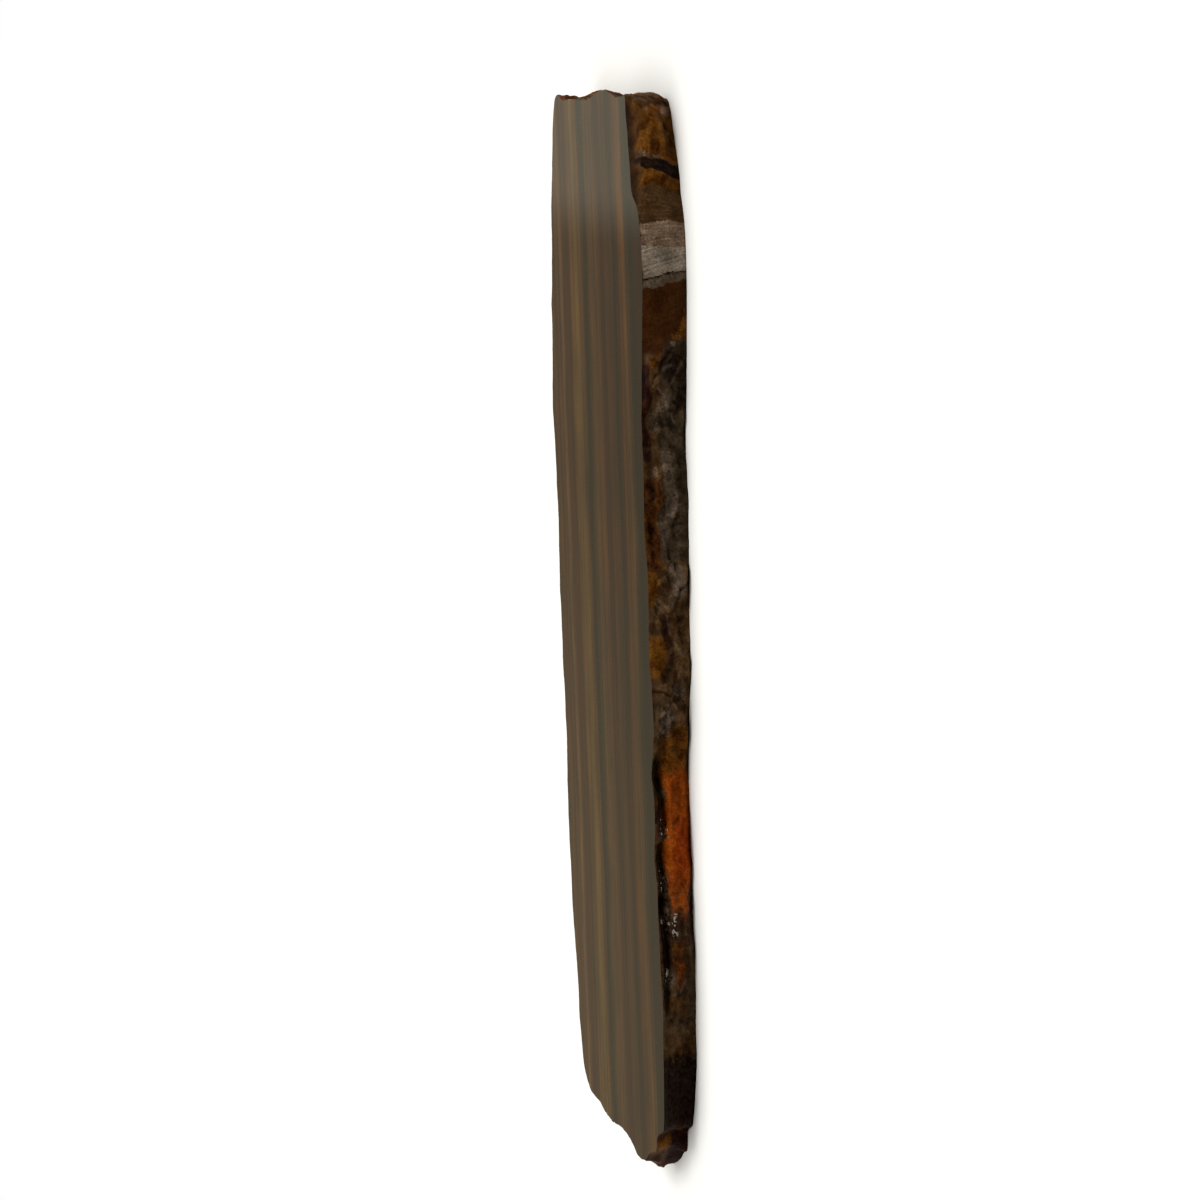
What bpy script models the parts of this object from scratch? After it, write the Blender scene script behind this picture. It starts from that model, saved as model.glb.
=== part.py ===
"""A rough slab of tiger's eye: one plate of banded stone, sawn flat on both sides and
polished on one, with the broken rim that the rock came with.

Frame: metres, +Z up. The sawn back lies flat on z = 0 and the polished face looks up.
The bands of the stone run along X. +X points to the thicker end, and -Y is the long
side with the best broken rim. The origin is at the bottom centre of the bounding box.
"""

import math

import bmesh
import bpy
from mathutils import Vector, noise

MM = 0.001

# Driving dimensions, in millimetres.
THICKNESS = 8.0  # at the middle of the slab
WEDGE = 1.0  # the two saw cuts part by this much towards +X, and close by it towards -X
WEDGE_REACH = 105.0  # how far from the middle WEDGE is measured
COLUMN_SPACING = 1.45  # between the columns of vertices round the rim
RING_SHARES = (0.0, 0.08, 0.19, 0.31, 0.43, 0.55, 0.67, 0.78, 0.87, 0.945, 1.0)  # of the thickness
RING_WAVER = 0.035  # how far the inner rings swing up and down, as a share of the thickness
WAVER_LENGTH = 5.0  # along the rim, from one swing to the next
RING_STAGGER = 8.0  # how differently neighbouring rings swing

# The outline, clockwise from above: x and y of the polished face's edge, and how far away
# from it in x and in y the edge of the sawn back lies.
BROKEN_SIDE = (
    (94.2, -35.6, -0.3, 2.6),
    (89.5, -36.1, 0.3, 0.6),
    (84.0, -36.9, 0.0, -1.1),
    (78.0, -37.4, 0.0, -2.6),
    (75.0, -38.3, 0.0, -2.1),
    (72.6, -40.9, 0.0, -0.5),
    (69.5, -42.6, 0.0, 0.3),
    (65.0, -43.4, 0.0, 0.7),
    (56.0, -43.2, 0.0, 0.7),
    (38.0, -40.0, 0.0, -0.6),
    (27.0, -39.3, 0.0, 0.0),
    (14.0, -38.7, 0.0, -1.3),
    (2.0, -40.3, 0.0, 1.0),
    (-10.0, -38.4, 0.0, 0.2),
    (-16.0, -39.5, 0.0, 1.9),
    (-23.0, -40.1, 0.0, 4.6),
    (-28.0, -38.5, 0.0, 3.3),
    (-33.0, -37.4, 0.0, 2.4),
    (-38.0, -38.3, 0.0, 3.0),
    (-48.0, -36.9, 0.0, 1.6),
    (-54.0, -38.5, 0.0, 3.1),
    (-66.0, -38.4, 0.0, 2.9),
    (-76.0, -38.7, 0.0, 3.4),
    (-88.0, -37.6, 0.0, 3.2),
    (-97.6, -36.5, -0.2, 5.0),
    (-100.1, -35.5, -0.4, 5.2),
)
TIP_END = (
    (-101.9, -31.2, -0.4, 3.6),
    (-104.6, -29.8, -1.2, 3.4),
    (-106.3, -24.4, -0.8, 1.0),
    (-107.9, -20.4, -0.6, 0.0),
    (-108.5, -14.6, -0.8, 0.0),
    (-106.2, -7.6, -1.6, 0.0),
    (-106.3, 6.0, -0.6, 0.0),
    (-104.8, 16.5, -1.6, 0.0),
    (-103.0, 25.5, -0.6, 0.0),
)
FAR_SIDE = (
    (-97.0, 31.8, 0.0, 0.6),
    (-80.0, 34.6, 0.0, 2.4),
    (-52.0, 36.8, 0.0, -0.4),
    (-28.0, 36.8, 0.0, 0.8),
    (-6.0, 37.0, 0.0, 2.6),
    (18.0, 36.6, 0.0, 0.6),
    (43.0, 37.6, 0.0, -1.4),
    (58.0, 36.0, 0.0, 1.4),
    (85.0, 31.6, 0.0, 1.2),
)
THICK_END = (
    (104.6, 25.0, 0.4, 0.0),
    (103.0, 15.4, 1.9, 0.0),
    (101.1, 4.6, 1.9, 0.0),
    (99.6, -4.0, 0.9, 0.0),
    (98.8, -16.8, -0.3, 0.0),
    (96.0, -28.0, 0.2, 0.0),
    (95.0, -32.5, -0.4, 1.0),
)
OUTLINE = BROKEN_SIDE + TIP_END + FAR_SIDE + THICK_END
SPLINE_STEPS = 16  # samples on each stretch of the outline, before even spacing
NORMAL_REACH = 3  # columns to each side that a column's outward direction is averaged over

# Relief of the broken rim.
BELLY = 0.7  # how far the rim swells halfway up
LARGE_SCOOP = (15.0, 10.0, 2.1)  # shell-like breaks: size along the rim, size in height, depth
SMALL_SCOOP = (6.5, 4.2, 0.95)
EDGE_CHIPS = 0.35  # share of the scoops that also bites into the two sawn edges
UNEVENNESS = 0.5  # slow swell and sink of the whole rim
UNEVENNESS_SIZE = 22.0
SIDE = 20.0  # a point further than this from the middle in y is on a long side
END_RANGE = (94.0, 99.0)  # x over which the thick end starts
END_CALM = 0.7  # share of the scoops that is missing on the thick end
END_HOLLOW = 1.4  # how far the thick end is hollowed halfway up

# Single forms of the rim: x from, x to, how soft their ends are, and how far they stand out.
SHOULDER = (74.0, 92.5, 6.0, 3.7)  # unpolished step just below the face, by the thick end
SHOULDER_FOOT, SHOULDER_DROP = 0.8, 0.15  # shares of the thickness it rises and slopes down over
CREVICES = ((-77.0, -30.0, 6.0, -2.1), (8.0, 25.0, 6.0, -0.8))  # grooves under the polished edge
CREVICE_HEIGHT, CREVICE_WIDTH = 0.82, 0.1  # as shares of the thickness
CREVICE_PATCHES, PATCH_LENGTH = 1.2, 6.0  # how unevenly deep they are, and over what length
CREVICE_SWAY, SWAY_LENGTH = 0.08, 9.0  # how far they sway up and down, and over what length
CRUST = (-70.0, -20.0, 6.0, 1.0)  # swollen iron-stained crust below the long crevice
CRUST_FOOT, CRUST_TOP, CRUST_SOFT = 0.2, 0.66, 0.08  # as shares of the thickness
SMOOTH_BREAK = (34.0, 82.0, 6.0)  # here the stone broke along its fibres, almost flat
SMOOTH_CALM = 0.75  # share of the scoops that is missing there
FAR_LEDGE = (-62.0, 16.0, 7.0, 1.9)  # splintered ledge low on the far side
FAR_LEDGE_TOP, FAR_LEDGE_SOFT = 0.42, 0.07
TIP_HOLLOW = (-98.5, -84.0, 3.5, -1.3)  # smooth shell-like hollow near the tip
HOLLOW_CALM = 0.7  # share of the scoops that is missing there
# Splinter ridges across the broken side: x and share of the thickness at one end, the same
# at the other end, half width and height.
RIDGES = (
    (47.0, 0.62, 36.5, 0.98, 1.6, 1.0),
    (36.0, 0.42, 43.5, 0.98, 1.6, 0.9),
    (33.0, 0.10, 18.0, 0.72, 2.0, 1.2),
    (4.5, 0.05, -2.5, 0.60, 1.9, 1.3),
    (-12.0, 0.15, -22.5, 0.95, 1.7, 1.2),
    (-26.0, 0.05, -15.0, 0.92, 1.7, 1.3),
)
RIDGE_FADE = 0.1  # share of the thickness over which they fade out at each sawn edge
SHARP_ANGLE = 48.0  # degrees; steeper folds of the rim are shaded as edges


def face_height(x):
    """Height of the polished face over the sawn back at x, in millimetres."""
    return THICKNESS + WEDGE * x / WEDGE_REACH


def ramp(value, start, end):
    """Rises smoothly from 0 at start to 1 at end."""
    share = min(1.0, max(0.0, (value - start) / (end - start)))
    return share * share * (3 - 2 * share)


def stretch(x, start, end, soft):
    """1 between start and end, and 0 outside, with ends that fade over a length of soft."""
    return ramp(x, start - soft / 2, start + soft / 2) * ramp(-x, -end - soft / 2, -end + soft / 2)


def hump(value, centre, width):
    """A bell of height 1 round centre."""
    return math.exp(-(((value - centre) / width) ** 2))


def catmull_rom(before, start, end, after, share):
    """The point at share between start and end on the curve through the four points."""
    return 0.5 * (
        2 * start
        + (end - before) * share
        + (2 * before - 5 * start + 4 * end - after) * share**2
        + (3 * start - before - 3 * end + after) * share**3
    )


def distance_to_segment(x, z, start_x, start_z, end_x, end_z):
    """How far (x, z) lies from the straight segment between two points."""
    along = Vector((end_x - start_x, end_z - start_z))
    there = Vector((x - start_x, z - start_z))
    share = min(1.0, max(0.0, there.dot(along) / along.length_squared))
    return (there - along * share).length


def smooth_outline(corners, spacing):
    """Evenly spaced points on the closed curve through the corners."""
    count = len(corners)
    corners = [Vector(corner) for corner in corners]
    dense = []
    for i in range(count):
        four = [corners[(i + k) % count] for k in (-1, 0, 1, 2)]
        dense += [catmull_rom(*four, step / SPLINE_STEPS) for step in range(SPLINE_STEPS)]
    lengths = [(dense[i].xy - dense[i - 1].xy).length for i in range(len(dense))]
    columns = round(sum(lengths) / spacing)
    wanted = [sum(lengths) * i / columns for i in range(columns)]
    points, travelled = [], 0.0
    for i in range(len(dense)):
        length = lengths[(i + 1) % len(dense)]
        while wanted and wanted[0] <= travelled + length:
            share = (wanted.pop(0) - travelled) / length
            points.append(dense[i].lerp(dense[(i + 1) % len(dense)], share))
        travelled += length
    return points


def outward_directions(points):
    """The outward direction in XY at each point, averaged over its neighbours."""
    directions = []
    for i in range(len(points)):
        before = points[i - NORMAL_REACH].xy
        after = points[(i + NORMAL_REACH) % len(points)].xy
        along = (after - before).normalized()
        directions.append(Vector((-along.y, along.x)))
    return directions


def scoops(point, size, height, depth):
    """Shell-like hollows that meet in sharp ridges: the squared distance to scattered centres."""
    place = Vector((point.x / size, point.y / size, point.z / height))
    nearest = noise.voronoi(place)[0][0]
    return depth * (2 * min(nearest, 1.0) ** 2 - 1)


def wander(x, line, length):
    """Slow noise along the rim, between about -1 and 1; each line has its own."""
    return noise.noise(Vector((x / length, line, 0.0)))


def broken_side_forms(point, share):
    """How far the single forms of the broken side stand out, and the scoops they leave, 0 to 1."""
    inner = math.sin(math.pi * share)
    low, high, soft, rise = SHOULDER
    bevel = min(1.0, (1 - share) / SHOULDER_DROP)
    out = rise * stretch(point.x, low, high, soft) * ramp(share, 0.0, SHOULDER_FOOT) * bevel
    patchy = 1 + CREVICE_PATCHES * wander(point.x, 3.0, PATCH_LENGTH)
    level = CREVICE_HEIGHT + CREVICE_SWAY * wander(point.x, 7.0, SWAY_LENGTH)
    for low, high, soft, rise in CREVICES:
        along = stretch(point.x, low, high, soft)
        out += rise * patchy * along * hump(share, level, CREVICE_WIDTH)
    low, high, soft, rise = CRUST
    top = ramp(-share, -CRUST_TOP - CRUST_SOFT, -CRUST_TOP + CRUST_SOFT)
    out += rise * stretch(point.x, low, high, soft) * ramp(share, 0.0, CRUST_FOOT) * top
    low, high, soft, rise = TIP_HOLLOW
    hollow = stretch(point.x, low, high, soft)
    out += rise * hollow * inner
    for from_x, from_share, to_x, to_share, width, rise in RIDGES:
        ends = (from_x, from_share * THICKNESS, to_x, to_share * THICKNESS)
        apart = distance_to_segment(point.x, share * THICKNESS, *ends)
        out += rise * hump(apart, 0.0, width) * ramp(min(share, 1 - share), 0.0, RIDGE_FADE)
    return out, 1 - SMOOTH_CALM * stretch(point.x, *SMOOTH_BREAK) - HOLLOW_CALM * hollow


def rim_relief(point, share):
    """How far the rim stands out at a point of it, share of the way up, in millimetres."""
    inner = math.sin(math.pi * share)
    out, scooped = broken_side_forms(point, share) if point.y < -SIDE else (0.0, 1.0)
    end = ramp(point.x, *END_RANGE)
    out += (BELLY - END_HOLLOW * end) * inner + UNEVENNESS * noise.noise(point / UNEVENNESS_SIZE)
    if point.y > SIDE:
        low, high, soft, rise = FAR_LEDGE
        top = ramp(-share, -FAR_LEDGE_TOP - FAR_LEDGE_SOFT, -FAR_LEDGE_TOP + FAR_LEDGE_SOFT)
        out += rise * stretch(point.x, low, high, soft) * top
    scooped = (scooped - END_CALM * end) * (EDGE_CHIPS + (1 - EDGE_CHIPS) * inner)
    return out + scooped * (scoops(point, *LARGE_SCOOP) + scoops(point, *SMALL_SCOOP))


def rim_rings():
    """The rim's points, ring by ring from the sawn back up to the polished face."""
    outline = smooth_outline(OUTLINE, COLUMN_SPACING)
    directions = outward_directions(outline)
    rings = []
    for ring_share in RING_SHARES:
        ring = []
        for corner, outward in zip(outline, directions):
            swing = Vector((*corner.xy / WAVER_LENGTH, RING_STAGGER * ring_share))
            waver = RING_WAVER * noise.noise(swing)
            share = ring_share + waver * math.sin(math.pi * ring_share)
            on_loft = corner.xy + corner.zw * (1 - share)
            z = share * face_height(on_loft.x)
            out = rim_relief(Vector((*on_loft, z)), share)
            place = on_loft + outward * out
            ring.append(Vector((*place, share * face_height(place.x))))
        rings.append(ring)
    return rings


def slab_mesh():
    """The whole stone: its sawn back raised ring by ring, through the rim, to the polished face."""
    rings = rim_rings()
    mesh = bmesh.new()
    column = mesh.verts.layers.int.new("column")
    bmesh.ops.create_circle(mesh, cap_ends=True, segments=len(rings[0]), radius=1.0)
    for i, corner in enumerate(mesh.verts):
        corner[column] = i
        corner.co = rings[0][i] * MM
    cap = mesh.faces[:]
    for ring in rings[1:]:
        cap = bmesh.ops.extrude_discrete_faces(mesh, faces=cap)["faces"]
        for corner in cap[0].verts:
            corner.co = ring[corner[column]] * MM
    cap[0].material_index = 1
    bmesh.ops.holes_fill(mesh, edges=[edge for edge in mesh.edges if edge.is_boundary])
    bmesh.ops.recalc_face_normals(mesh, faces=mesh.faces)
    return mesh


def centre_over_origin(mesh):
    """Moves the stone so that the bottom centre of its bounding box is the origin."""
    middle = Vector((0.0, 0.0, 0.0))
    for axis in (0, 1):
        places = [corner.co[axis] for corner in mesh.verts]
        middle[axis] = (min(places) + max(places)) / 2
    bmesh.ops.translate(mesh, verts=mesh.verts, vec=-middle)


def stone_material(name, colour, roughness):
    """A plain Principled material with the stone's colour and gloss."""
    material = bpy.data.materials.new(name)
    material.use_nodes = True
    shader = material.node_tree.nodes["Principled BSDF"]
    shader.inputs["Base Color"].default_value = (*colour, 1.0)
    shader.inputs["Roughness"].default_value = roughness
    shader.inputs["Metallic"].default_value = 0.0
    shader.inputs["IOR"].default_value = 1.54
    return material


def build_slab(collection):
    """The slab as one named object, lying on its sawn back."""
    mesh = slab_mesh()
    centre_over_origin(mesh)
    data = bpy.data.meshes.new("slab")
    mesh.to_mesh(data)
    mesh.free()
    data.materials.append(stone_material("broken_rim", (0.075, 0.032, 0.010), 0.55))
    data.materials.append(stone_material("polished_face", (0.115, 0.048, 0.012), 0.08))
    data.set_sharp_from_angle(angle=math.radians(SHARP_ANGLE))
    for face in data.polygons:
        face.use_smooth = len(face.vertices) == 4  # the two sawn faces stay flat
    slab = bpy.data.objects.new("slab", data)
    collection.objects.link(slab)
    return slab


def main():
    for old in list(bpy.data.objects):
        bpy.data.objects.remove(old)
    collection = bpy.data.collections.new("tigers_eye_slab")
    bpy.context.scene.collection.children.link(collection)
    build_slab(collection)


main()
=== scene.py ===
# %% [markdown]
# # A rough slab of tiger's eye
#
# Tiger's eye is quartz that grew round thin parallel fibres, stained gold and brown by iron. A
# lapidary saws the rock into plates: both big faces come flat off the blade, one is then polished
# like glass, and the edge all round stays as the rock broke.
#
# So this is one stone with three finishes: a polished face, a dull sawn back and a broken rim.
# It is modelled as one closed mesh whose faces carry three materials. Making three thin objects
# instead would leave seams where the rim meets the faces, which is the very place the eye checks.

import math

import bmesh
import bpy
import numpy
from mathutils import Matrix, Vector, noise


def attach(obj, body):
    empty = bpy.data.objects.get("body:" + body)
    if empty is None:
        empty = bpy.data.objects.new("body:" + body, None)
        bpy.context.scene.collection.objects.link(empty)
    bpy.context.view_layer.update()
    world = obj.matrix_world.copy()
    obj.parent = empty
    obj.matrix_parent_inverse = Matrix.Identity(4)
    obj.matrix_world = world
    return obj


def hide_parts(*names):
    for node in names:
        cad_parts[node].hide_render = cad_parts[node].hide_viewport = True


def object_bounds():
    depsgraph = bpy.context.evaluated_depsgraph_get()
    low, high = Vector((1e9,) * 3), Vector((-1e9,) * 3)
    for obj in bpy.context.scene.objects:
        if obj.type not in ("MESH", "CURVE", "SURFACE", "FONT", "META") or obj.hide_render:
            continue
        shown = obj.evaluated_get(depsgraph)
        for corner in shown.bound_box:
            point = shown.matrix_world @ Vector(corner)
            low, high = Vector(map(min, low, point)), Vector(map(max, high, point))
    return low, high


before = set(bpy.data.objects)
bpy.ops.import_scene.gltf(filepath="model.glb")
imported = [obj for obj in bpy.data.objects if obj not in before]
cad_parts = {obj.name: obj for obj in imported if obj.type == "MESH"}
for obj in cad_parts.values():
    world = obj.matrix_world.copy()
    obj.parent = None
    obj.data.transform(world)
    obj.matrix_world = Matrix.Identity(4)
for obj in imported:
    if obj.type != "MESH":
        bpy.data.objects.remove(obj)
cad_low, cad_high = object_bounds()
MM = 0.001
print("solid, mm:", [round(side / MM, 1) for side in cad_high - cad_low])

# %% [markdown]
# ## The outline of the slab
#
# The saw decides only the two flat faces. Everything else is where the rock happened to break, so
# the outline is a free curve: a few listed corners, joined by a smooth curve that passes
# through each of them (a Catmull-Rom spline). Each corner also says how far the edge of the back
# lies from the edge of the face, because a broken rim leans in and out as it goes round.
#
# A Bezier curve object could draw the same outline, but the rim needs its columns of vertices at
# even spacing, and a few lines of code give that directly.

# %% Outline corners, in millimetres
# x and y of the polished face's edge, and how far from it in x and y the back's edge lies.
BROKEN_SIDE = (
    (94.2, -35.6, -0.3, 2.6),
    (89.5, -36.1, 0.3, 0.6),
    (84.0, -36.9, 0.0, -1.1),
    (78.0, -37.4, 0.0, -2.6),
    (75.0, -38.3, 0.0, -2.1),
    (72.6, -40.9, 0.0, -0.5),
    (69.5, -42.6, 0.0, 0.3),
    (65.0, -43.4, 0.0, 0.7),
    (56.0, -43.2, 0.0, 0.7),
    (38.0, -40.0, 0.0, -0.6),
    (27.0, -39.3, 0.0, 0.0),
    (14.0, -38.7, 0.0, -1.3),
    (2.0, -40.3, 0.0, 1.0),
    (-10.0, -38.4, 0.0, 0.2),
    (-16.0, -39.5, 0.0, 1.9),
    (-23.0, -40.1, 0.0, 4.6),
    (-28.0, -38.5, 0.0, 3.3),
    (-33.0, -37.4, 0.0, 2.4),
    (-38.0, -38.3, 0.0, 3.0),
    (-48.0, -36.9, 0.0, 1.6),
    (-54.0, -38.5, 0.0, 3.1),
    (-66.0, -38.4, 0.0, 2.9),
    (-76.0, -38.7, 0.0, 3.4),
    (-88.0, -37.6, 0.0, 3.2),
    (-97.6, -36.5, -0.2, 5.0),
    (-100.1, -35.5, -0.4, 5.2),
)
TIP_END = (
    (-101.9, -31.2, -0.4, 3.6),
    (-104.6, -29.8, -1.2, 3.4),
    (-106.3, -24.4, -0.8, 1.0),
    (-107.9, -20.4, -0.6, 0.0),
    (-108.5, -14.6, -0.8, 0.0),
    (-106.2, -7.6, -1.6, 0.0),
    (-106.3, 6.0, -0.6, 0.0),
    (-104.8, 16.5, -1.6, 0.0),
    (-103.0, 25.5, -0.6, 0.0),
)
FAR_SIDE = (
    (-97.0, 31.8, 0.0, 0.6),
    (-80.0, 34.6, 0.0, 2.4),
    (-52.0, 36.8, 0.0, -0.4),
    (-28.0, 36.8, 0.0, 0.8),
    (-6.0, 37.0, 0.0, 2.6),
    (18.0, 36.6, 0.0, 0.6),
    (43.0, 37.6, 0.0, -1.4),
    (58.0, 36.0, 0.0, 1.4),
    (85.0, 31.6, 0.0, 1.2),
)
THICK_END = (
    (104.6, 25.0, 0.4, 0.0),
    (103.0, 15.4, 1.9, 0.0),
    (101.1, 4.6, 1.9, 0.0),
    (99.6, -4.0, 0.9, 0.0),
    (98.8, -16.8, -0.3, 0.0),
    (96.0, -28.0, 0.2, 0.0),
    (95.0, -32.5, -0.4, 1.0),
)
OUTLINE = BROKEN_SIDE + TIP_END + FAR_SIDE + THICK_END
THICKNESS = 8.0  # at the middle
WEDGE, WEDGE_REACH = 1.0, 105.0  # the saw cuts part by WEDGE over WEDGE_REACH towards +X
COLUMN_SPACING = 0.27  # fine enough for grains of half a millimetre to show in the outline
SPLINE_STEPS = 60
NORMAL_REACH = 4.35  # the outward direction is averaged over this much rim to each side
print(len(OUTLINE), "corners")

# %% Helpers for smooth steps and the curve through the corners


def face_height(x):
    """Height of the polished face over the back at x, in millimetres."""
    return THICKNESS + WEDGE * x / WEDGE_REACH


def ramp(value, start, end):
    """Rises smoothly from 0 at start to 1 at end."""
    share = min(1.0, max(0.0, (value - start) / (end - start)))
    return share * share * (3 - 2 * share)


def stretch(x, start, end, soft):
    """1 between start and end, and 0 outside, with ends that fade over a length of soft."""
    return ramp(x, start - soft / 2, start + soft / 2) * ramp(-x, -end - soft / 2, -end + soft / 2)


def hump(value, centre, width):
    """A bell of height 1 round centre."""
    return math.exp(-(((value - centre) / width) ** 2))


def catmull_rom(before, start, end, after, share):
    """The point at share between start and end on the curve through the four points."""
    return 0.5 * (
        2 * start
        + (end - before) * share
        + (2 * before - 5 * start + 4 * end - after) * share**2
        + (3 * start - before - 3 * end + after) * share**3
    )


def smooth_outline(corners, spacing):
    """Evenly spaced points on the closed curve through the corners."""
    count = len(corners)
    corners = [Vector(corner) for corner in corners]
    dense = []
    for i in range(count):
        four = [corners[(i + k) % count] for k in (-1, 0, 1, 2)]
        dense += [catmull_rom(*four, step / SPLINE_STEPS) for step in range(SPLINE_STEPS)]
    lengths = [(dense[i].xy - dense[i - 1].xy).length for i in range(len(dense))]
    columns = round(sum(lengths) / spacing)
    wanted = [sum(lengths) * i / columns for i in range(columns)]
    points, travelled = [], 0.0
    for i in range(len(dense)):
        length = lengths[(i + 1) % len(dense)]
        while wanted and wanted[0] <= travelled + length:
            share = (wanted.pop(0) - travelled) / length
            points.append(dense[i].lerp(dense[(i + 1) % len(dense)], share))
        travelled += length
    return points


def outward_directions(points, reach):
    """The outward direction in XY at each point, averaged over reach points to each side."""
    directions = []
    for i in range(len(points)):
        along = (points[(i + reach) % len(points)].xy - points[i - reach].xy).normalized()
        directions.append(Vector((-along.y, along.x)))
    return directions


outline = smooth_outline(OUTLINE, COLUMN_SPACING)
outward = outward_directions(outline, round(NORMAL_REACH / COLUMN_SPACING))
print(len(outline), "columns round the rim")

# %% [markdown]
# ## How quartz breaks
#
# Quartz has no planes to split along, so it breaks in shells, like the bottom of a glass bottle:
# smooth hollows that meet in sharp ridges. A Voronoi pattern gives exactly that when the distance
# to the nearest centre is squared, because the squared distance is a bowl and the bowls meet in
# creases. Sculpting by hand would also work, but it could not be repeated or resized.
#
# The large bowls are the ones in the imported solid, so this stone and the solid agree. Small bowls,
# ribs left by the fibres and grains of the iron crust are added on top here.

# %% Relief of the rim, in millimetres
BELLY = 0.7
LARGE_SCOOP = (15.0, 10.0, 2.1)  # size along the rim, size in height, depth
SMALL_SCOOP = (6.5, 4.2, 0.95)
EDGE_CHIPS = 0.35
UNEVENNESS, UNEVENNESS_SIZE = 0.5, 22.0
SIDE = 20.0  # a point further than this from the middle in y is on a long side
END_RANGE, END_CALM, END_HOLLOW = (94.0, 99.0), 0.7, 1.4  # the thick end is calm and hollow
SHOULDER = (74.0, 92.5, 6.0, 3.7)  # x from, x to, softness, how far it stands out
SHOULDER_FOOT, SHOULDER_DROP = 0.8, 0.15
CREVICES = ((-77.0, -30.0, 6.0, -2.1), (8.0, 25.0, 6.0, -0.8))
CREVICE_HEIGHT, CREVICE_WIDTH = 0.82, 0.1
CREVICE_PATCHES, PATCH_LENGTH = 1.2, 6.0
CREVICE_SWAY, SWAY_LENGTH = 0.08, 9.0
CRUST = (-70.0, -20.0, 6.0, 1.0)
CRUST_FOOT, CRUST_TOP, CRUST_SOFT = 0.2, 0.66, 0.08
SMOOTH_BREAK, SMOOTH_CALM = (34.0, 82.0, 6.0), 0.75
FAR_LEDGE = (-62.0, 16.0, 7.0, 1.9)
FAR_LEDGE_TOP, FAR_LEDGE_SOFT = 0.42, 0.07
TIP_HOLLOW, HOLLOW_CALM = (-98.5, -84.0, 3.5, -1.3), 0.7
RIDGES = (
    (47.0, 0.62, 36.5, 0.98, 1.6, 1.0),
    (36.0, 0.42, 43.5, 0.98, 1.6, 0.9),
    (33.0, 0.10, 18.0, 0.72, 2.0, 1.2),
    (4.5, 0.05, -2.5, 0.60, 1.9, 1.3),
    (-12.0, 0.15, -22.5, 0.95, 1.7, 1.2),
    (-26.0, 0.05, -15.0, 0.92, 1.7, 1.3),
)
RIDGE_FADE = 0.1


def scoops(point, size, height, depth):
    """Shell-like hollows that meet in sharp ridges."""
    place = Vector((point.x / size, point.y / size, point.z / height))
    return depth * (2 * min(noise.voronoi(place)[0][0], 1.0) ** 2 - 1)


def distance_to_segment(x, z, start_x, start_z, end_x, end_z):
    """How far (x, z) lies from the straight segment between two points."""
    along = Vector((end_x - start_x, end_z - start_z))
    there = Vector((x - start_x, z - start_z))
    share = min(1.0, max(0.0, there.dot(along) / along.length_squared))
    return (there - along * share).length


def wander(x, line, length):
    """Slow noise along the rim, between about -1 and 1; each line has its own."""
    return noise.noise(Vector((x / length, line, 0.0)))


def broken_side_forms(point, share):
    """How far the single forms of the broken side stand out, and the scoops they leave, 0 to 1."""
    inner = math.sin(math.pi * share)
    low, high, soft, rise = SHOULDER
    bevel = min(1.0, (1 - share) / SHOULDER_DROP)
    out = rise * stretch(point.x, low, high, soft) * ramp(share, 0.0, SHOULDER_FOOT) * bevel
    patchy = 1 + CREVICE_PATCHES * wander(point.x, 3.0, PATCH_LENGTH)
    level = CREVICE_HEIGHT + CREVICE_SWAY * wander(point.x, 7.0, SWAY_LENGTH)
    for low, high, soft, rise in CREVICES:
        along = stretch(point.x, low, high, soft)
        out += rise * patchy * along * hump(share, level, CREVICE_WIDTH)
    low, high, soft, rise = CRUST
    top = ramp(-share, -CRUST_TOP - CRUST_SOFT, -CRUST_TOP + CRUST_SOFT)
    out += rise * stretch(point.x, low, high, soft) * ramp(share, 0.0, CRUST_FOOT) * top
    low, high, soft, rise = TIP_HOLLOW
    hollow = stretch(point.x, low, high, soft)
    out += rise * hollow * inner
    for from_x, from_share, to_x, to_share, width, rise in RIDGES:
        ends = (from_x, from_share * THICKNESS, to_x, to_share * THICKNESS)
        apart = distance_to_segment(point.x, share * THICKNESS, *ends)
        out += rise * hump(apart, 0.0, width) * ramp(min(share, 1 - share), 0.0, RIDGE_FADE)
    return out, 1 - SMOOTH_CALM * stretch(point.x, *SMOOTH_BREAK) - HOLLOW_CALM * hollow


def rim_relief(point, share):
    """The solid's own relief: how far the rim stands out at a point, share of the way up."""
    inner = math.sin(math.pi * share)
    out, scooped = broken_side_forms(point, share) if point.y < -SIDE else (0.0, 1.0)
    end = ramp(point.x, *END_RANGE)
    out += (BELLY - END_HOLLOW * end) * inner + UNEVENNESS * noise.noise(point / UNEVENNESS_SIZE)
    if point.y > SIDE:
        low, high, soft, rise = FAR_LEDGE
        top = ramp(-share, -FAR_LEDGE_TOP - FAR_LEDGE_SOFT, -FAR_LEDGE_TOP + FAR_LEDGE_SOFT)
        out += rise * stretch(point.x, low, high, soft) * top
    scooped = (scooped - END_CALM * end) * (EDGE_CHIPS + (1 - EDGE_CHIPS) * inner)
    return out + scooped * (scoops(point, *LARGE_SCOOP) + scoops(point, *SMALL_SCOOP))


print("relief at one point:", round(rim_relief(Vector((0, -38, 4)), 0.5), 2), "mm")
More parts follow.
